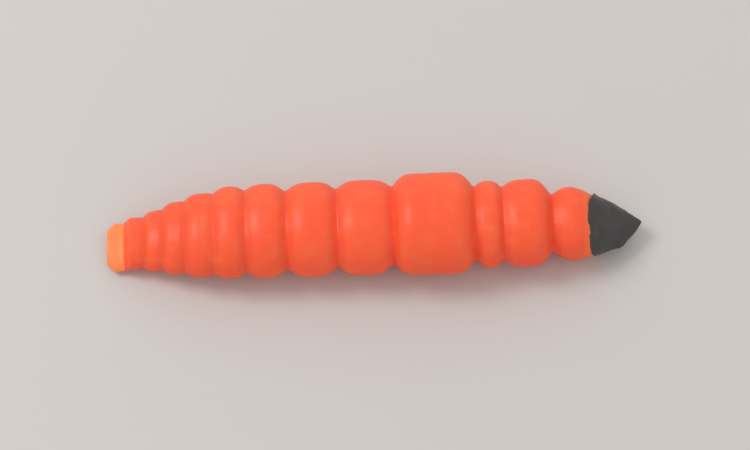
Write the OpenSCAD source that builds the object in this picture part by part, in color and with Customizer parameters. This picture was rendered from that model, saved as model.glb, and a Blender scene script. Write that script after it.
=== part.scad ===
// A soft plastic grub worm: an orange body moulded as a row of rings, and a black head cap.
// +X points from the tail to the head and +Z points up. The worm lies straight, on a belly
// that its own weight has flattened at z = 0, and the origin is the middle of that belly.
// All sizes are in millimetres.

/* [Size] */
// Length from the tip of the head to the cut end of the tail
worm_l = 36.25; // [33:0.25:42]
// Width of the saddle, the widest ring
worm_w = 7.1; // [6.2:0.1:8.4]
// Height of the saddle's oval, before its belly is flattened
worm_t = 5.75; // [5:0.05:6.8]
// How much of every oval the flat belly takes off
belly_cut = 0.15; // [0.05:0.05:0.3]

/* [Grooves] */
// Widest web at the bottom of a groove
web_gap = 0.8; // [0.6:0.05:0.9]
// Web length as a share of the shorter ring beside it
web_share = 0.36; // [0.3:0.01:0.4]
// How far the rings' end faces lie under their crests, for each millimetre of web
face_depth = 0.4; // [0.3:0.05:0.5]
// How far the middle of a web lies under its ends, for each millimetre of web
web_depth = 0.25; // [0.1:0.05:0.3]
// How deep the last groove is beside those of the thick rings
tail_shallow = 0.15; // [0.1:0.05:1]

/* [Head] */
// Length of the black cap
head_l = 3.1; // [2.8:0.1:4.2]
// Width of the cap where it meets the first ring
head_w = 4.0; // [3.6:0.1:4.8]
// Height of the cap's oval there
head_t = 3.6; // [3.2:0.1:4.2]
// Thickness of the slanted edge at the cap's end
edge_t = 0.7; // [0.5:0.05:0.9]

/* [Tail] */
// Length of the flat tail behind the last groove
tail_l = 2.5; // [2:0.1:3.2]
// Width of the flat tail
tail_w = 3.7; // [3.4:0.1:4]
// Height of the tail's oval at the last groove
tail_t = 2.3; // [2:0.05:2.6]
// Thickness of the trimmed strip at the very end
strip_t = 1.2; // [0.9:0.05:1.4]
// Length of the trimmed strip
strip_l = 1.1; // [0.7:0.05:1.2]

/* [Hidden] */
RINGS = 11;
function label(k) = k < 10 ? str("0", k) : str(k);

ORANGE = [1.0, 0.39, 0.25];
BLACK = [0.16, 0.15, 0.15];

// The rings from the head to the tail: how the body's length is shared out, and each crest's
// width and height as a share of the saddle's.
RING_LENGTHS = [3.1, 3.35, 1.85, 5.55, 3.75, 3.4, 2.75, 2.2, 1.95, 1.5, 1.25];
RING_WIDTHS = [0.72, 0.86, 0.86, 1.0, 0.935, 0.935, 0.935, 0.925, 0.852, 0.74, 0.62];
RING_HEIGHTS = [0.77, 0.88, 0.88, 1.0, 0.905, 0.9, 0.895, 0.88, 0.774, 0.635, 0.52];

// From this ring on, the crests taper towards the tail like tiles on a roof.
FIRST_TILE = 7;
TILE_SLOPE = 0.35;

// The cap. Places on it are shares of its length and width, measured back from its tip and
// across from its middle. A positive share across is on the far side, at +Y.
CHEEK = 0.25;              // share of the cap's length over which it is still rounded
CHEEK_DROP = 0.1;          // how far the cheek's end lies inside the base, as a share of head_t
EDGE_HEIGHT = 0.36;        // height of the slanted edge, as a share of head_t
EDGE_TIP = 0.025;          // where the edge's far end is, across
EDGE_CORNER = [0.41, -0.335]; // where its near end is, back and across

// The tail's end.
TAIL_SHOULDER = 0.3;       // length of the rounded shoulder behind the last groove
RAMP = 0.25;               // length of the slope down to the strip
RAMP_HEIGHTS = [0.55, 0.12]; // heights at its start and end, from the strip's at 0 to the tail's at 1
STRIP_STEP = 0.05;         // length of the small step onto the strip
STRIP_NARROWER = 0.1;      // how much narrower the strip is than the tail
CORNER = [0.5, 0.75];      // cut corners of the strip: how long, and how much narrower the end is

OVAL_POINTS = 28;
SHOULDER = 0.9;            // longest rounded shoulder
SHOULDER_SHARE = 0.42;     // shoulder length as a share of the ring
SHOULDER_STEPS = [0, 0.15, 0.5, 1];

function total(v, n) = n == 0 ? 0 : v[n - 1] + total(v, n - 1);
function blend(a, b, f) = a + (b - a) * f;

// Ring k runs from groove k - 1 to groove k. Groove 0 is where the cap meets the first ring.
function pitch(k) =
    k > RINGS ? tail_l
    : RING_LENGTHS[k - 1] * (worm_l - head_l - tail_l) / total(RING_LENGTHS, RINGS);
function groove_x(k) = worm_l / 2 - head_l - (k == 0 ? 0 : total([for (i = [1:k]) pitch(i)], k));
function gap(k) = k == 0 ? 0 : min(web_gap, web_share * min(pitch(k), pitch(k + 1)));

// An oval is [width, height, height of its centre].
function rest_oval(w, t) = [w, t, t / 2 - belly_cut];
function crest(k) =
    k == 0 ? rest_oval(head_w, head_t)
    : k > RINGS ? rest_oval(tail_w, tail_t)
    : rest_oval(worm_w * RING_WIDTHS[k - 1], worm_t * RING_HEIGHTS[k - 1]);
function shrunk(oval, by) = [oval[0] - 2 * by, oval[1] - 2 * by, oval[2]];

// Grooves are full depth as far as the thick rings go, then get shallower towards the tail.
function depth(k) =
    gap(k) * (k < FIRST_TILE ? 1 : blend(1, tail_shallow, (k - FIRST_TILE) / (RINGS - FIRST_TILE)));
function narrower(a, b) = [min(a[0], b[0]), min(a[1], b[1]), (a[2] + b[2]) / 2];
function face(k) =
    k == 0 ? crest(0) : shrunk(narrower(crest(k), crest(k + 1)), face_depth * depth(k));

// A closed shell through ovals, each given as [x, oval], from the highest x to the lowest.
module loft(stations) {
    n = OVAL_POINTS;
    points = [for (s = stations, i = [0:n - 1])
        [s[0], s[1][0] / 2 * cos(360 * i / n), max(0, s[1][2] + s[1][1] / 2 * sin(360 * i / n))]];
    last = (len(stations) - 1) * n;
    sides = [for (s = [0:len(stations) - 2], i = [0:n - 1])
        [s * n + i, s * n + (i + 1) % n, (s + 1) * n + (i + 1) % n, (s + 1) * n + i]];
    front = [for (i = [n - 1:-1:0]) i];
    back = [for (i = [0:n - 1]) last + i];
    polyhedron(points, concat([front, back], sides));
}

// How far below the crest a rounded shoulder is, at a share u of its length: 1 down to 0.
function drop(u) = 1 - sqrt(1 - pow(1 - u, 2));

// Stations from an end face up a rounded shoulder of length s. dir is -1 towards the tail.
function shoulder(x, dir, s, from, to) =
    [for (u = SHOULDER_STEPS) [x + dir * u * s, blend(to, from, drop(u))]];
function reversed(v) = [for (i = [len(v) - 1:-1:0]) v[i]];

module ring(k) {
    front_x = groove_x(k - 1) - gap(k - 1) / 2;
    back_x = groove_x(k) + gap(k) / 2;
    s = min(SHOULDER, SHOULDER_SHARE * (front_x - back_x));
    back_crest = k < FIRST_TILE ? crest(k) : blend(crest(k), crest(k + 1), TILE_SLOPE);
    color(ORANGE)
        loft(concat(
            shoulder(front_x, -1, s, face(k - 1), crest(k)),
            reversed(shoulder(back_x, 1, s, face(k), back_crest))
        ));
}

// The thin web that flexes at the bottom of groove k.
module waist(k) {
    half = gap(k) / 2;
    color(ORANGE)
        loft([
            [groove_x(k) + half, face(k)],
            [groove_x(k), shrunk(face(k), web_depth * depth(k))],
            [groove_x(k) - half, face(k)]
        ]);
}

// The cap narrows from an oval to a thin slanted edge, which ends at the tip.
module head_cap() {
    base_x = groove_x(0);
    full = face(0);
    tip = [worm_l / 2 - edge_t / 2, EDGE_TIP * head_w];
    corner = [tip[0] - EDGE_CORNER[0] * head_l, EDGE_CORNER[1] * head_w];
    color(BLACK)
        intersection() {
            hull() {
                loft([
                    [base_x + CHEEK * head_l, shrunk(full, CHEEK_DROP * head_t)],
                    [base_x, full]
                ]);
                for (end = [tip, corner])
                    translate([end[0], end[1], EDGE_HEIGHT * head_t])
                        sphere(d = edge_t, $fn = 24);
            }
            translate([base_x, -head_w, 0])
                cube([head_l, 2 * head_w, head_t]);
        }
}

// The tail flattens to a thin strip with cut corners, where the worm was trimmed.
module tail_stub() {
    front_x = groove_x(RINGS) - gap(RINGS) / 2;
    end_x = -worm_l / 2;
    strip_x = end_x + strip_l;
    whole = rest_oval(tail_w, tail_t);
    strip = rest_oval(tail_w - STRIP_NARROWER, strip_t);
    color(ORANGE)
        loft(concat(
            shoulder(front_x, -1, TAIL_SHOULDER, face(RINGS), crest(RINGS + 1)),
            [
                [strip_x + RAMP, blend(strip, whole, RAMP_HEIGHTS[0])],
                [strip_x, blend(strip, whole, RAMP_HEIGHTS[1])],
                [strip_x - STRIP_STEP, strip],
                [end_x + CORNER[0], strip],
                [end_x, rest_oval(strip[0] - CORNER[1], strip_t)]
            ]
        ));
}

head_cap();
for (k = [1:RINGS]) {
    ring(k);
    waist(k);
}
tail_stub();
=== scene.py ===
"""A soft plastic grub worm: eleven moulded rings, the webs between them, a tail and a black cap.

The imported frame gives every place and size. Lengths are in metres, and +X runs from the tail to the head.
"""

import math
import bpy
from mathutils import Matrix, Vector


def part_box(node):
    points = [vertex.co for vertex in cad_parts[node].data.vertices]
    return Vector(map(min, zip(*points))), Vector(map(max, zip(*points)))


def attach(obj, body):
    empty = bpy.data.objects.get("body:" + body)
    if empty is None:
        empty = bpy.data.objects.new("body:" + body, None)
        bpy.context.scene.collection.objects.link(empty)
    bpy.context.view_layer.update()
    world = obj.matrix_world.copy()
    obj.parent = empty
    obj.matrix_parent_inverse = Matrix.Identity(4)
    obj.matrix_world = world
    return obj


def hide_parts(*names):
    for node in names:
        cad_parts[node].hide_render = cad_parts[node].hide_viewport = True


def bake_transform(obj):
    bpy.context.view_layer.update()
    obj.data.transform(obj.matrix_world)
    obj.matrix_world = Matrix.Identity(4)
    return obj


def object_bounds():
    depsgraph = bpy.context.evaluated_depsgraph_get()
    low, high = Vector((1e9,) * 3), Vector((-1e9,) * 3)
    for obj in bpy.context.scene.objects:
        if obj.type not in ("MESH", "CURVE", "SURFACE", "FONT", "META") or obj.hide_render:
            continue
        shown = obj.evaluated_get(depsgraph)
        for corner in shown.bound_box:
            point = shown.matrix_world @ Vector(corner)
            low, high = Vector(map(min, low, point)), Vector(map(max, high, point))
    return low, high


bl_info = {
    "name": "Soft Plastic Worm",
    "version": (1, 0, 0),
    "blender": (4, 5, 0),
    "location": "View3D > Sidebar > Worm",
    "description": "Models a ringed soft plastic worm around its packed frame",
    "category": "Object",
}

from collections import namedtuple

import bmesh
import bpy
from bpy.props import FloatProperty, FloatVectorProperty, IntProperty, PointerProperty
from bpy.types import Operator, Panel, PropertyGroup
from mathutils import Vector

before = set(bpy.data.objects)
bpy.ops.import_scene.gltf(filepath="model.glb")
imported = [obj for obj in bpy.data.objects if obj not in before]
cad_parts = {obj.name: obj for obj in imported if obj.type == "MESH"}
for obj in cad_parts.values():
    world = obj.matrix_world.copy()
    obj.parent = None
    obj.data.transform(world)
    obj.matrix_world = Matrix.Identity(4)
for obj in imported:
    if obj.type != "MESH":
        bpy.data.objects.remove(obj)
cad_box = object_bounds()

MM = 0.001
RINGS = sum(name.startswith("ring_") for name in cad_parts)
HERE = 1e-7  # how near two places count as the same

CORE = 0.5 * MM  # how far the first ring's plastic reaches into the cap
CORE_GAP = 0.03 * MM  # how far inside the cap's outline that plastic stays
FIRST_STEP = 0.1 * MM  # how far apart the cross-sections at a piece's ends are
STEP_GROWTH = 1.35  # how much wider each step is than the one before it

# One cross-section of the worm: its place along X, width, height and centre's Z. The head's are also moved
# sideways, leant back (tilt, about Y) and slanted (turn, about Z).
Oval = namedtuple("Oval", "x w t z y tilt turn", defaults=(0.0, 0.0, 0.0))


# ---------------------------------------------------------------- settings


class BodySettings(PropertyGroup):
    belly_cut: FloatProperty(
        name="Belly cut",
        description="How much of each ring's oval the flat belly takes off",
        default=0.15 * MM, unit="LENGTH", precision=6)
    groove_sink: FloatProperty(
        name="Groove sink",
        description="How far a groove's bottom lies under the ends of its web, for each metre of web",
        default=0.28)
    tail_fill: FloatProperty(
        name="Tail groove fill",
        description="How much of the way up to the next ring the tail's grooves are filled",
        default=0.65, subtype="FACTOR")
    shoulder: FloatProperty(
        name="Shoulder",
        description="Longest rounded slope from a groove up to a ring's crest",
        default=1.45 * MM, unit="LENGTH", precision=6)
    bead: FloatProperty(
        name="Bead power",
        description="How round the shoulders are: higher is fuller",
        default=2.5)
    groove_round: FloatProperty(
        name="Groove rounding",
        description="How soft the bottom of a groove is, as a share of the shoulder",
        default=0.09)
    seam_height: FloatProperty(
        name="Mould seam height",
        description="How far the mould's parting line stands out on both sides",
        default=0.035 * MM, unit="LENGTH", precision=6)
    seam_width: FloatProperty(
        name="Mould seam width",
        description="Width of the mould's parting line",
        default=0.16 * MM, unit="LENGTH", precision=6)
    unevenness: FloatProperty(
        name="Unevenness",
        description="Height of the slow waves that cooling leaves in the plastic",
        default=0.07 * MM, unit="LENGTH", precision=6)
    outline: IntProperty(
        name="Outline points",
        description="Points around each cross-section before it is smoothed",
        default=36)
    orange: FloatVectorProperty(
        name="Orange", description="Colour of the rings' crests",
        subtype="COLOR", size=3, default=(1.0, 0.105, 0.028))
    # The deep orange is painted shade in the grooves; the random cloud also uses it for darker patches.
    deep: FloatVectorProperty(
        name="Deep orange", description="Colour in the grooves",
        subtype="COLOR", size=3, default=(0.98, 0.055, 0.016))
    # The thin orange is painted light showing through thin plastic, at the tail's strip and the band behind
    # the cap; the random grain also uses it.
    thin: FloatVectorProperty(
        name="Thin orange", description="Colour of the thin strip at the tail's end",
        subtype="COLOR", size=3, default=(1.0, 0.26, 0.075))


class HeadSettings(PropertyGroup):
    film: FloatProperty(
        name="Film",
        description="How far the black film stands proud of the orange plastic",
        default=0.09 * MM, unit="LENGTH", precision=6)
    rim: FloatProperty(
        name="Rim",
        description="How far ahead of the first ring's end the middle of the film's rim is",
        default=-0.25 * MM, unit="LENGTH", precision=6)
    lean: FloatProperty(
        name="Lean",
        description="How far the film's rim leans back at the top",
        default=math.radians(15), subtype="ANGLE")
    skew: FloatProperty(
        name="Skew",
        description="How far the film's rim is turned forward on the far side",
        default=math.radians(7.5), subtype="ANGLE")
    raggedness: FloatProperty(
        name="Raggedness",
        description="How unevenly the film's rim runs along the worm",
        default=0.17 * MM, unit="LENGTH", precision=6)
    black: FloatVectorProperty(
        name="Black", description="Colour of the head cap",
        subtype="COLOR", size=3, default=(0.035, 0.032, 0.031))


class StageSettings(PropertyGroup):
    azimuth: FloatProperty(
        name="Azimuth",
        description="Where the camera stands round the worm",
        default=math.radians(-2), subtype="ANGLE")
    elevation: FloatProperty(
        name="Elevation",
        description="How high the camera stands",
        default=math.radians(65), subtype="ANGLE")
    distance: FloatProperty(
        name="Distance",
        description="From the camera to the worm",
        default=0.26, unit="LENGTH")
    filled: FloatProperty(
        name="Filled",
        description="Share of the picture's width that the worm takes",
        default=0.72, subtype="FACTOR")
    floor: FloatVectorProperty(
        name="Floor", description="Colour of the floor",
        subtype="COLOR", size=3, default=(0.58, 0.555, 0.54))


# ---------------------------------------------------------------- shader maths


class Value:
    """A socket that takes part in Python arithmetic by adding Math nodes."""

    def __init__(self, shader, socket):
        self.shader = shader
        self.socket = socket

    def maths(self, operation, other):
        return self.shader.node("ShaderNodeMath", "Value", {"operation": operation}, {0: self, 1: other})

    def __add__(self, other):
        return self.maths("ADD", other)

    def __radd__(self, other):
        return self.maths("ADD", other)

    def __sub__(self, other):
        return self.maths("SUBTRACT", other)

    def __rsub__(self, other):
        return self.shader.node("ShaderNodeMath", "Value", {"operation": "SUBTRACT"}, {0: other, 1: self})

    def __mul__(self, other):
        return self.maths("MULTIPLY", other)

    def __rmul__(self, other):
        return self.maths("MULTIPLY", other)

    def __pow__(self, other):
        return self.maths("POWER", other)

    def clamped(self):
        """Kept between 0 and 1."""
        return self.shader.node(
            "ShaderNodeMath", "Value", {"operation": "ADD", "use_clamp": True}, {0: self, 1: 0.0})

    def above(self, low, high):
        """0 under low, 1 over high and smooth between them."""
        return self.shader.node(
            "ShaderNodeMapRange", "Result", {"interpolation_type": "SMOOTHSTEP"},
            {"Value": self, "From Min": low, "From Max": high})


class Shader:
    """A new material with a Principled surface, and the patterns that feed it."""

    def __init__(self, name):
        self.material = bpy.data.materials.new(name)
        self.material.use_nodes = True
        self.tree = self.material.node_tree
        self.surface = self.tree.nodes["Principled BSDF"]

    def node(self, kind, output, settings, sockets):
        """Adds a node: its settings first, then what each socket holds, by name or number."""
        made = self.tree.nodes.new(kind)
        for key, value in settings.items():
            setattr(made, key, value)
        for key, value in sockets.items():
            self.give(made.inputs[key], value)
        return Value(self, made.outputs[output])

    def give(self, socket, value):
        if isinstance(value, Value):
            self.tree.links.new(value.socket, socket)
        elif isinstance(value, (tuple, list)) and len(value) == 3 and socket.type == "RGBA":
            socket.default_value = (*value, 1.0)
        else:
            socket.default_value = value

    def set(self, **named):
        for key, value in named.items():
            self.give(self.surface.inputs[key.replace("_", " ")], value)

    def place(self):
        return self.node("ShaderNodeTexCoord", "Object", {}, {})

    def along(self):
        return self.node("ShaderNodeSeparateXYZ", "X", {}, {"Vector": self.place()})

    def noise(self, size, detail=2.0, stretch=(1.0, 1.0, 1.0)):
        """Noise from 0 to 1 whose lumps are about size across."""
        place = self.node("ShaderNodeMapping", "Vector", {}, {"Vector": self.place(), "Scale": stretch})
        return self.node(
            "ShaderNodeTexNoise", "Fac", {}, {"Vector": place, "Scale": 1.0 / size, "Detail": detail})

    def dots(self, spacing, size):
        """1 in round dots of about the given size and 0 between them."""
        cells = self.node(
            "ShaderNodeTexVoronoi", "Distance", {}, {"Vector": self.place(), "Scale": 1.0 / spacing})
        return 1.0 - cells.above(0.3 * size / spacing, 0.6 * size / spacing)

    def mix(self, share, first, second):
        """From one colour to another. A Mix node's colours are sockets 6 and 7, and 2 is the mixed one."""
        return self.node("ShaderNodeMix", 2, {"data_type": "RGBA"}, {0: share, 6: first, 7: second})

    def bump(self, height, distance, strength, under=None):
        sockets = {"Strength": strength, "Distance": distance, "Height": height}
        if under:
            sockets["Normal"] = under
        return self.node("ShaderNodeBump", "Normal", {}, sockets)


def orange_vinyl(body):
    """Soft, slightly see-through vinyl: painted shade makes it redder in the grooves, and painted light
    showing through makes it yellower where it is thin.
    """
    s = Shader("orange_vinyl")
    cloud = s.noise(5 * MM, 3.0)
    grain = s.noise(0.9 * MM, 4.0)
    groove = s.node("ShaderNodeAttribute", "Fac", {"attribute_name": "groove"}, {})
    tail_end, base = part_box("tail_stub")[0].x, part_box("head_cap")[0].x
    # The trimmed strip ends 1.2 mm from the tail's end; it is painted paler, as light that shows through the
    # thin plastic. A paler band lies just behind the cap: painted light showing through the thin edge there.
    thin = 1.0 - s.along().above(tail_end + 1.12 * MM, tail_end + 1.24 * MM)
    painted_glow_behind_cap = s.along().above(base - 1.2 * MM, base - 0.75 * MM)
    specks = s.dots(1.7 * MM, 0.11 * MM) * s.noise(2.2 * MM, 0.0).above(0.5, 0.56)
    bright, deep, pale = tuple(body.orange), tuple(body.deep), tuple(body.thin)
    # Painted groove shade, and random cloudy tone, both pull towards the deep orange.
    colour = s.mix((groove * 0.7 + cloud.above(0.4, 0.75) * 0.25).clamped(), bright, deep)
    # Random grain, and the painted light through the thin edge behind the cap, pull towards the pale orange.
    colour = s.mix((grain.above(0.45, 0.8) * 0.2 + painted_glow_behind_cap * 0.3).clamped(), colour, pale)
    # Painted light showing through the thin strip at the tail's end.
    colour = s.mix(thin, colour, pale)
    colour = s.mix(specks * 0.3, colour, (0.25, 0.02, 0.01))
    pits = s.dots(0.8 * MM, 0.16 * MM) * s.noise(1.9 * MM, 0.0).above(0.48, 0.55)
    creases = s.noise(0.42 * MM, 2.0, (0.3, 1.0, 1.0)) * (0.25 + groove ** 0.3 * 0.75)
    skin = s.bump(s.noise(0.3 * MM, 3.0), 0.01 * MM, 0.5)
    skin = s.bump(creases, 0.09 * MM, 0.6, skin)
    s.set(
        Base_Color=colour,
        Roughness=0.36 + grain * 0.16,
        Normal=s.bump(1.0 - pits, 0.03 * MM, 0.5, skin),
    )
    s.set(Subsurface_Weight=0.4, Subsurface_Scale=0.25 * MM, Subsurface_Radius=(1.0, 0.32, 0.14), IOR=1.47)
    return s.material


def black_vinyl(head):
    """Glossy black vinyl with a fine drawn texture."""
    s = Shader("black_vinyl")
    cloud = s.noise(1.6 * MM, 3.0)
    grain = s.noise(0.22 * MM, 4.0, (0.35, 1.0, 1.0))
    dust = s.dots(0.55 * MM, 0.06 * MM) * s.noise(1.3 * MM, 0.0).above(0.5, 0.58)
    colour = s.mix(cloud.above(0.35, 0.8) * 0.6, tuple(head.black), (0.06, 0.058, 0.062))
    colour = s.mix(dust * 0.5, colour, (0.22, 0.2, 0.19))
    s.set(
        Base_Color=colour,
        Roughness=0.27 + grain * 0.2,
        Normal=s.bump(grain, 0.02 * MM, 0.55, s.bump(cloud, 0.06 * MM, 0.5)),
    )
    s.set(IOR=1.5)
    return s.material


# ---------------------------------------------------------------- the worm's outline


def name_of(kind, k):
    return f"{kind}_{k:02d}"


def node_oval(node):
    """The oval that fills a node's box."""
    low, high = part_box(node)
    return Oval((low.x + high.x) / 2, high.y - low.y, high.z - low.z, (low.z + high.z) / 2)


def blend(a, b, share):
    """Between two ovals. share is 0 at a and 1 at b."""
    return Oval(*(p + (q - p) * share for p, q in zip(a, b)))


class Outline:
    """The worm's width, height and centre anywhere along its length."""

    # From FIRST_TILE on, the rings' crests slope towards the tail like tiles on a roof.
    FIRST_TILE = 7
    TILE_SLOPE = 0.35  # share of the step to the next ring that a tile's crest already takes
    LAST_DEPTH = 0.15  # how deep the last groove is beside those of the thick rings
    FILL_STEP = 0.3  # how much more each groove is filled than the one before, up to tail_fill

    SHOULDER_SHARE = 0.5  # longest shoulder, as a share of the ring
    COLLAR_SHOULDER = 1.5 * MM  # slope from the cap up to the first ring's crest

    EDGE_BALL = 0.35 * MM  # radius that rounds both ends of the cap's slanted edge
    EDGE_SIZE = (1.9, 1.75)  # how much longer than its middle line the edge is, and how thick, in radii
    EDGE_TIP = 0.025  # how far the edge's far end is from the middle, as a share of the cap's width
    EDGE_CORNER = (0.41, -0.335)  # where its near end is, back from the tip and across from the middle
    EDGE_HEIGHT = 0.36  # height of the edge, as a share of the cap's

    SHADES = (0.6, 0.55, 0.5, 1.0, 1.0, 0.8, 0.6, 0.4, 0.3, 0.25, 0.2)  # of the grooves, from the head
    SHADE_REACH = 0.26 * MM  # how far from a groove's bottom its shade fades

    def __init__(self, body):
        self.body = body
        self.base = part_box("head_cap")[0].x
        self.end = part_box("tail_stub")[0].x
        self.gaps = [0.0]
        self.grooves = [self.base]
        for k in range(1, RINGS + 1):
            low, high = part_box(name_of("waist", k))
            self.gaps.append(high.x - low.x)
            self.grooves.append((low.x + high.x) / 2)
        names = ["head_cap", *(name_of("ring", k) for k in range(1, RINGS + 1)), "tail_stub"]
        self.crests = [self.crest_of(name) for name in names]
        self.bottoms = [self.crests[0]]
        for k in range(1, RINGS + 1):
            face = node_oval(name_of("waist", k))
            fill = min(body.tail_fill, max(0, k - self.FIRST_TILE + 1) * self.FILL_STEP)
            sink = 2 * body.groove_sink * self.gaps[k] * self.shallow(k) * (1 - fill)
            filled = blend(face, self.crests[k + 1], fill)
            self.bottoms.append(filled._replace(w=filled.w - sink, t=filled.t - sink))

    def crest_of(self, name):
        """A node's widest oval, before the belly is cut off."""
        low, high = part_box(name)
        height = high.z + self.body.belly_cut
        return Oval((low.x + high.x) / 2, high.y - low.y, height, height / 2 - self.body.belly_cut)

    def shallow(self, k):
        """How deep groove k is beside those of the thick rings."""
        return 1 - (1 - self.LAST_DEPTH) * max(0, k - self.FIRST_TILE) / (RINGS - self.FIRST_TILE)

    def chisel(self):
        """The cap's slanted edge."""
        low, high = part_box("head_cap")
        tip = Vector((high.x - self.EDGE_BALL, self.EDGE_TIP * self.bottoms[0].w))
        back, across = self.EDGE_CORNER
        corner = Vector((tip.x - back * (high.x - low.x), across * self.bottoms[0].w))
        middle = (tip + corner) / 2
        longer, thick = (radii * self.EDGE_BALL for radii in self.EDGE_SIZE)
        return Oval(
            x=middle.x, y=middle.y, z=self.EDGE_HEIGHT * self.bottoms[0].t,
            w=(tip - corner).length + longer, t=thick,
            turn=math.atan2(tip.x - corner.x, tip.y - corner.y))

    def slanted(self, x, tilt, turn):
        """The cross-section at x that is tilted and turned, fitted to the surface on all four sides."""
        middle = self.at(x)
        up, across = math.tan(tilt) * middle.t / 2, math.tan(turn) * middle.w / 2
        above, below = self.at(x - up), self.at(x + up)
        far, near = self.at(x + across), self.at(x - across)
        top, bottom = above.z + above.t / 2, below.z - below.t / 2
        left, right = far.y + far.w / 2, near.y - near.w / 2
        return middle._replace(
            w=(left - right) / math.cos(turn), t=(top - bottom) / math.cos(tilt),
            y=(left + right) / 2, z=(top + bottom) / 2, tilt=tilt, turn=turn)

    def rise(self, distance, room, gentle):
        """How far up from a groove's bottom to the crest the surface is: 0 to 1."""
        reach = self.COLLAR_SHOULDER if gentle else min(self.body.shoulder, self.SHOULDER_SHARE * room)
        u = min(1.0, distance / reach)
        if gentle:
            return u * u * (3 - 2 * u)
        e = self.body.groove_round
        u = (math.hypot(u, e) - e) / (math.hypot(1, e) - e)
        return 1 - (1 - u) ** self.body.bead

    def ring_at(self, x):
        """The ring that x lies on: ring k is between grooves k - 1 and k."""
        for k in range(1, RINGS + 1):
            if x > self.grooves[k] - HERE:
                return k
        return RINGS + 1

    def at(self, x):
        """The upright cross-section at x."""
        if x > self.base:
            edge = self.chisel()
            return blend(self.bottoms[0]._replace(x=self.base), edge, (x - self.base) / (edge.x - self.base))
        k = self.ring_at(x)
        front = self.grooves[k - 1]
        back = self.grooves[k] if k <= RINGS else self.end
        room = front - back
        crest = self.crests[k]
        if self.FIRST_TILE <= k <= RINGS:
            slope = self.TILE_SLOPE * (front - x) / room
            crest = blend(crest, self.crests[k + 1], slope)
        lack = 1 - self.rise(front - x, room, k == 1)
        oval = blend(crest, self.bottoms[k - 1], lack)
        if k <= RINGS:
            oval = blend(oval, self.bottoms[k], 1 - self.rise(x - back, room, False))
        for place, depth, width in self.folds():
            dent = 2 * depth * math.exp(-(((x - place) / width) ** 2))
            oval = oval._replace(w=oval.w - dent, t=oval.t - dent)
        return oval._replace(x=x)

    def folds(self):
        """Faint moulded lines on the first, second and fourth rings: place, depth and half width."""
        return [
            (self.base - 1.2 * MM, 0.09 * MM, 0.22 * MM),
            (self.grooves[1] - 1.9 * MM, 0.06 * MM, 0.2 * MM),
            (self.grooves[3] - 3.3 * MM, 0.03 * MM, 0.25 * MM),
        ]

    def shade(self, x):
        """How far x is in the shade of a groove: 1 at the bottom of the darkest and 0 on a crest."""
        return max(
            strength * math.exp(-(((x - groove) / self.SHADE_REACH) ** 2))
            for strength, groove in zip(self.SHADES, self.grooves[1:]))


# ---------------------------------------------------------------- modelling


def start_piece(name, oval, body):
    """A new piece in edit mode: one filled oval across X, with the mould's seam at its sides."""
    bpy.ops.object.select_all(action="DESELECT")
    bpy.ops.mesh.primitive_circle_add(
        vertices=body.outline, radius=oval.w / 2, fill_type="NOTHING",
        location=centre_of(oval), rotation=(0, math.pi / 2, 0))
    piece = bpy.context.object
    piece.name = piece.data.name = name
    bpy.ops.object.transform_apply(location=True, rotation=True, scale=True)
    bpy.ops.object.mode_set(mode="EDIT")
    for side in (-1, 1):
        bpy.ops.mesh.select_all(action="SELECT")
        bpy.ops.mesh.bisect(
            plane_co=(0, 0, oval.z + side * body.seam_width / 2), plane_no=(0, 0, 1), threshold=HERE)
    pick(piece, lambda v: abs(v.co.z - oval.z) < HERE)
    bpy.ops.transform.resize(
        value=(1, 1 + 2 * body.seam_height / oval.w, 1), center_override=centre_of(oval))
    bpy.ops.mesh.select_all(action="SELECT")
    bpy.ops.transform.resize(value=(1, 1, oval.t / oval.w), center_override=centre_of(oval))
    bpy.ops.mesh.edge_face_add()
    lean(oval, 1)
    return piece


def pick(piece, test):
    """Selects only the points that pass the test."""
    bpy.ops.mesh.select_all(action="DESELECT")
    mesh = bmesh.from_edit_mesh(piece.data)
    for vert in mesh.verts:
        vert.select_set(test(vert))
    mesh.select_flush(True)
    bmesh.update_edit_mesh(piece.data)


def lean(oval, way, at=None):
    """Tilts and turns the selected end as the oval says. With way at -1 it goes back, the turn first."""
    centre = centre_of(at or oval)
    for angle, axis in ((oval.tilt, "Y"), (oval.turn, "Z"))[::way]:
        if angle:
            bpy.ops.transform.rotate(value=way * angle, orient_axis=axis, center_override=centre)


def centre_of(oval):
    return Vector((oval.x, oval.y, oval.z))


def pull(before, after):
    """Draws the selected end out to the next oval."""
    bpy.ops.mesh.extrude_region_move(
        TRANSFORM_OT_translate={"value": centre_of(after) - centre_of(before)})
    lean(before, -1, at=after)
    bpy.ops.transform.resize(
        value=(1, after.w / before.w, after.t / before.t), center_override=centre_of(after))
    lean(after, 1)


def draw_out(name, ovals, body):
    """A closed solid through the ovals, left in edit mode with its last end selected."""
    piece = start_piece(name, ovals[0], body)
    for before, after in zip(ovals, ovals[1:]):
        pull(before, after)
    return piece


def keep_ends(piece, *places):
    """Keeps the flat ends sharp when the piece is smoothed."""
    for x in places:
        pick(piece, lambda v: abs(v.co.x - x) < HERE)
        bpy.ops.transform.edge_crease(value=1.0)


def rest_on_floor(piece):
    """Flattens whatever reaches below the floor."""
    pick(piece, lambda v: v.co.z < 0)
    bpy.ops.transform.resize(value=(1, 1, 0), center_override=(0, 0, 0))


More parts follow.
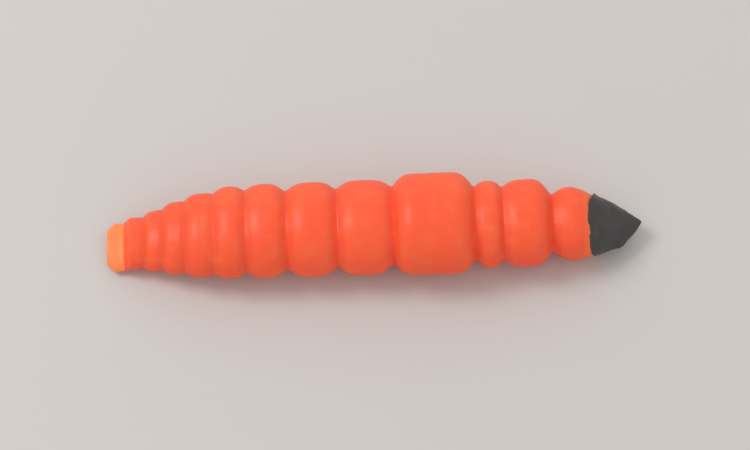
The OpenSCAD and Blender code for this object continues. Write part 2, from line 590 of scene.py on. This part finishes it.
def finish_piece(piece, body, material, ragged=0.0):
    """Smooths the piece, gives it the plastic's unevenness and its finish. ragged also moves it along X."""
    bpy.ops.mesh.select_all(action="SELECT")
    bpy.ops.mesh.normals_make_consistent(inside=False)
    bpy.ops.object.mode_set(mode="OBJECT")
    bpy.ops.object.modifier_add(type="SUBSURF")
    piece.modifiers[-1].levels = piece.modifiers[-1].render_levels = 2
    bpy.ops.object.modifier_apply(modifier=piece.modifiers[-1].name)
    for axis, size, strength in (
            ("Y", 2.6 * MM, body.unevenness), ("Z", 3.1 * MM, body.unevenness), ("X", 0.7 * MM, ragged)):
        if strength:
            bpy.ops.object.modifier_add(type="DISPLACE")
            wave = piece.modifiers[-1]
            wave.texture, wave.direction, wave.strength = waves(axis, size), axis, strength
            bpy.ops.object.modifier_apply(modifier=wave.name)
    bpy.ops.object.mode_set(mode="EDIT")
    rest_on_floor(piece)
    bpy.ops.object.mode_set(mode="OBJECT")
    bpy.ops.object.shade_smooth_by_angle(angle=math.radians(40))
    piece.data.materials.append(material)


def waves(axis, size):
    """A wave pattern for one direction, made once."""
    name = f"waves_{axis}"
    texture = bpy.data.textures.get(name) or bpy.data.textures.new(name, "CLOUDS")
    texture.noise_scale, texture.noise_depth = size, 1
    return texture


def mark_grooves(piece, outline):
    """Stores how far each point is in the shade of a groove, for the colour."""
    depths = piece.data.attributes.new("groove", "FLOAT", "POINT")
    depths.data.foreach_set("value", [outline.shade(v.co.x) for v in piece.data.vertices])


def orange():
    """The orange vinyl, made once."""
    made = bpy.data.materials.get("orange_vinyl")
    return made or orange_vinyl(bpy.context.scene.worm_body)


def spaced(front, back, widest):
    """Places from front to back, close together near both ends and wider in the middle."""
    half, step = [0.0], FIRST_STEP
    while half[-1] + step < (front - back) / 2:
        half.append(half[-1] + step)
        step = min(step * STEP_GROWTH, widest)
    return [front - h for h in half] + [back + h for h in reversed(half)]


# ---------------------------------------------------------------- operators


class WORM_OT_rings(Operator):
    """Model the eleven moulded rings"""

    bl_idname = "worm.rings"
    bl_label = "Rings"

    def execute(self, context):
        body = context.scene.worm_body
        outline = Outline(body)
        for k in range(1, RINGS + 1):
            front = outline.grooves[k - 1] - outline.gaps[k - 1] / 2
            back = outline.grooves[k] + outline.gaps[k] / 2
            ovals = [outline.at(x) for x in spaced(front, back, 0.42 * MM)]
            if k == 1:
                front += CORE
                ovals = [self.core(outline, front - 0.5 * CORE * step) for step in (0, 1)] + ovals
            ring = draw_out(name_of("soft_ring", k), ovals, body)
            keep_ends(ring, front, back)
            rest_on_floor(ring)
            finish_piece(ring, body, orange())
            mark_grooves(ring, outline)
            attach(ring, name_of("ring", k))
            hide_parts(name_of("ring", k))
        return {"FINISHED"}

    def core(self, outline, x):
        """The orange under the black film, just inside it."""
        oval = outline.at(x)
        return oval._replace(w=oval.w - 2 * CORE_GAP, t=oval.t - 2 * CORE_GAP)


class WORM_OT_webs(Operator):
    """Model the webs at the bottoms of the grooves, each as two halves"""

    bl_idname = "worm.webs"
    bl_label = "Webs"

    # For these halves the ends are listed from the waist towards the ring, and for the others from the ring
    # towards the waist.
    FROM_WAIST = ("web_front_02", "web_front_09", "web_front_10")

    def execute(self, context):
        body = context.scene.worm_body
        outline = Outline(body)
        for k in range(1, RINGS + 1):
            middle, half = outline.grooves[k], outline.gaps[k] / 2
            waist = name_of("waist", k)
            ahead = name_of("ring", k)
            behind = name_of("ring", k + 1) if k < RINGS else "tail_stub"
            for side, end, neighbour in (("front", middle + half, ahead), ("back", middle - half, behind)):
                places = [end + (middle - end) * share for share in (0, 0.25, 0.5, 0.75, 1)]
                web = draw_out(f"web_{side}_{k:02d}", [outline.at(x) for x in places], body)
                keep_ends(web, end, middle)
                finish_piece(web, body, orange())
                mark_grooves(web, outline)
                z = outline.bottoms[k].z
                ends = [(neighbour, (end, 0, z)), (waist, (middle, 0, z))]
                if web.name in self.FROM_WAIST:
                    ends.reverse()
                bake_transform(web)
                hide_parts(waist)
        return {"FINISHED"}


class WORM_OT_tail(Operator):
    """Model the flat tail and its thin trimmed strip"""

    bl_idname = "worm.tail"
    bl_label = "Tail"

    SLOPE_FROM = 1.6 * MM  # where the slope down to the trimmed strip begins, from the end

    # The slope down to the trimmed strip, and the strip with its cut corners, in millimetres:
    # distance from the end, width and thickness.
    STRIP = (
        (1.45, 3.6, 2.0),
        (1.28, 3.56, 1.74),
        (1.18, 3.53, 1.5),
        (1.13, 3.52, 1.34),
        (1.06, 3.51, 1.27),
        (0.88, 3.52, 1.22),
        (0.72, 3.57, 1.2),
        (0.6, 3.62, 1.2),
        (0.5, 3.55, 1.2),
        (0.36, 3.22, 1.2),
        (0.2, 2.86, 1.19),
        (0.07, 2.6, 1.17),
        (0.0, 2.4, 1.1),
    )

    def execute(self, context):
        body = context.scene.worm_body
        outline = Outline(body)
        front = outline.grooves[RINGS] - outline.gaps[RINGS] / 2
        end = outline.end
        cut = body.belly_cut

        def strip(from_end, width, thick):
            return Oval(end + from_end * MM, width * MM, thick * MM, thick * MM / 2 - cut)

        ovals = [outline.at(x) for x in spaced(front, end + self.SLOPE_FROM, 0.3 * MM)]
        ovals += [strip(*sizes) for sizes in self.STRIP]
        tail = draw_out("soft_tail", ovals, body)
        keep_ends(tail, front)
        rest_on_floor(tail)
        finish_piece(tail, body, orange())
        mark_grooves(tail, outline)
        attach(tail, "tail_stub")
        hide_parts("tail_stub")
        return {"FINISHED"}


class WORM_OT_head(Operator):
    """Model the black cap, which narrows to a slanted chisel edge"""

    bl_idname = "worm.head"
    bl_label = "Head cap"

    BLUNT = 0.14 * MM  # how far the edge's rounded front stands out, and how much thinner it is
    BLUNT_NARROWER = 0.12 * MM

    def execute(self, context):
        body, head = context.scene.worm_body, context.scene.worm_head
        outline = Outline(body)
        film = 2 * head.film  # on both sides

        def coated(x, share, more):
            """The cap's cross-section at x, with share of the rim's lean left and the film added."""
            oval = outline.slanted(x, share * head.lean, share * head.skew) if share else outline.at(x)
            return oval._replace(w=oval.w + more, t=oval.t + more)

        rim = outline.base + head.rim
        edge = outline.chisel()
        # The rim is closed by a wall that reaches into the orange, and then loses its lean step by step.
        ovals = [coated(rim, 1, -0.25 * MM), coated(rim, 1, 0.7 * film)]
        for ahead, share in ((0.07, 1), (0.2, 0.85), (0.33, 0.65), (0.46, 0.4)):
            ovals.append(coated(rim + ahead * MM, share, film))
        for share in (0.26, 0.36, 0.48, 0.6, 0.72, 0.84, 0.94, 1.0):
            ovals.append(coated(outline.base + share * (edge.x - outline.base), 0, film * (1 - share)))
        ovals.append(edge._replace(
            x=edge.x + self.BLUNT, y=edge.y - self.BLUNT * math.tan(edge.turn),
            w=edge.w - self.BLUNT_NARROWER, t=edge.t - self.BLUNT))
        cap = draw_out("black_cap", ovals, body)
        finish_piece(cap, body, black_vinyl(head), head.raggedness)
        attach(cap, "ring_01")
        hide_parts("head_cap")
        return {"FINISHED"}


class WORM_OT_stage(Operator):
    """Set the floor, the soft lights and the camera"""

    bl_idname = "worm.stage"
    bl_label = "Stage"

    def execute(self, context):
        stage = context.scene.worm_stage
        low, high = cad_box
        middle = (low + high) / 2
        self.floor(stage)
        self.lights(middle)
        self.camera(context, stage, middle, high.x - low.x)
        context.scene.view_settings.view_transform = "Standard"
        return {"FINISHED"}

    def floor(self, stage):
        bpy.ops.object.select_all(action="DESELECT")
        bpy.ops.mesh.primitive_plane_add(size=3.0, location=(0, 0, -0.02 * MM))
        floor = bpy.context.object
        floor.name = "floor"
        bpy.ops.object.transform_apply(location=True)
        s = Shader("pale_floor")
        s.set(Base_Color=tuple(stage.floor), Roughness=0.55)
        floor.data.materials.append(s.material)
        world = bpy.context.scene.world or bpy.data.worlds.new("studio")
        bpy.context.scene.world = world
        world.use_nodes = True
        world.node_tree.nodes["Background"].inputs["Color"].default_value = (1.0, 0.98, 0.96, 1)
        world.node_tree.nodes["Background"].inputs["Strength"].default_value = 0.72

    def lights(self, middle):
        for name, place, size, power in (
            ("key", (-0.22, 0.08, 0.30), 0.16, 0.55),
            ("fill", (0.22, -0.24, 0.24), 0.30, 0.12),
            ("rim", (0.05, 0.34, 0.16), 0.25, 0.10),
        ):
            bpy.ops.object.light_add(type="AREA", location=place)
            light = bpy.context.object
            light.name = name
            light.data.size, light.data.energy = size, power
            light.rotation_euler = (middle - light.location).to_track_quat("-Z", "Y").to_euler()

    def camera(self, context, stage, middle, length):
        a, e = stage.azimuth, stage.elevation
        back = Vector((math.sin(a) * math.cos(e), -math.cos(a) * math.cos(e), math.sin(e)))
        bpy.ops.object.camera_add(location=middle + back * stage.distance)
        camera = context.object
        camera.name = "camera"
        camera.rotation_euler = (-back).to_track_quat("-Z", "Y").to_euler()
        camera.data.sensor_width = 36
        camera.data.lens = 36 * stage.distance * stage.filled / length
        camera.data.clip_start, camera.data.clip_end = 0.01, 5
        context.scene.camera = camera


class WORM_PT_panel(Panel):
    """Lists the worm's pieces and its stage"""

    bl_idname = "WORM_PT_panel"
    bl_label = "Soft Plastic Worm"
    bl_space_type = "VIEW_3D"
    bl_region_type = "UI"
    bl_category = "Worm"

    def draw(self, context):
        for operator in OPERATORS:
            self.layout.operator(operator.bl_idname)


OPERATORS = (WORM_OT_rings, WORM_OT_webs, WORM_OT_tail, WORM_OT_head, WORM_OT_stage)
SETTINGS = {"worm_body": BodySettings, "worm_head": HeadSettings, "worm_stage": StageSettings}


def register():
    for item in (*SETTINGS.values(), *OPERATORS, WORM_PT_panel):
        bpy.utils.register_class(item)
    for name, group in SETTINGS.items():
        setattr(bpy.types.Scene, name, PointerProperty(type=group))


def unregister():
    for name in SETTINGS:
        delattr(bpy.types.Scene, name)
    for item in reversed((*SETTINGS.values(), *OPERATORS, WORM_PT_panel)):
        bpy.utils.unregister_class(item)


def main():
    register()
    bpy.ops.worm.rings()
    bpy.ops.worm.webs()
    bpy.ops.worm.tail()
    bpy.ops.worm.head()
    bpy.ops.worm.stage()


if __name__ == "__main__":
    main()
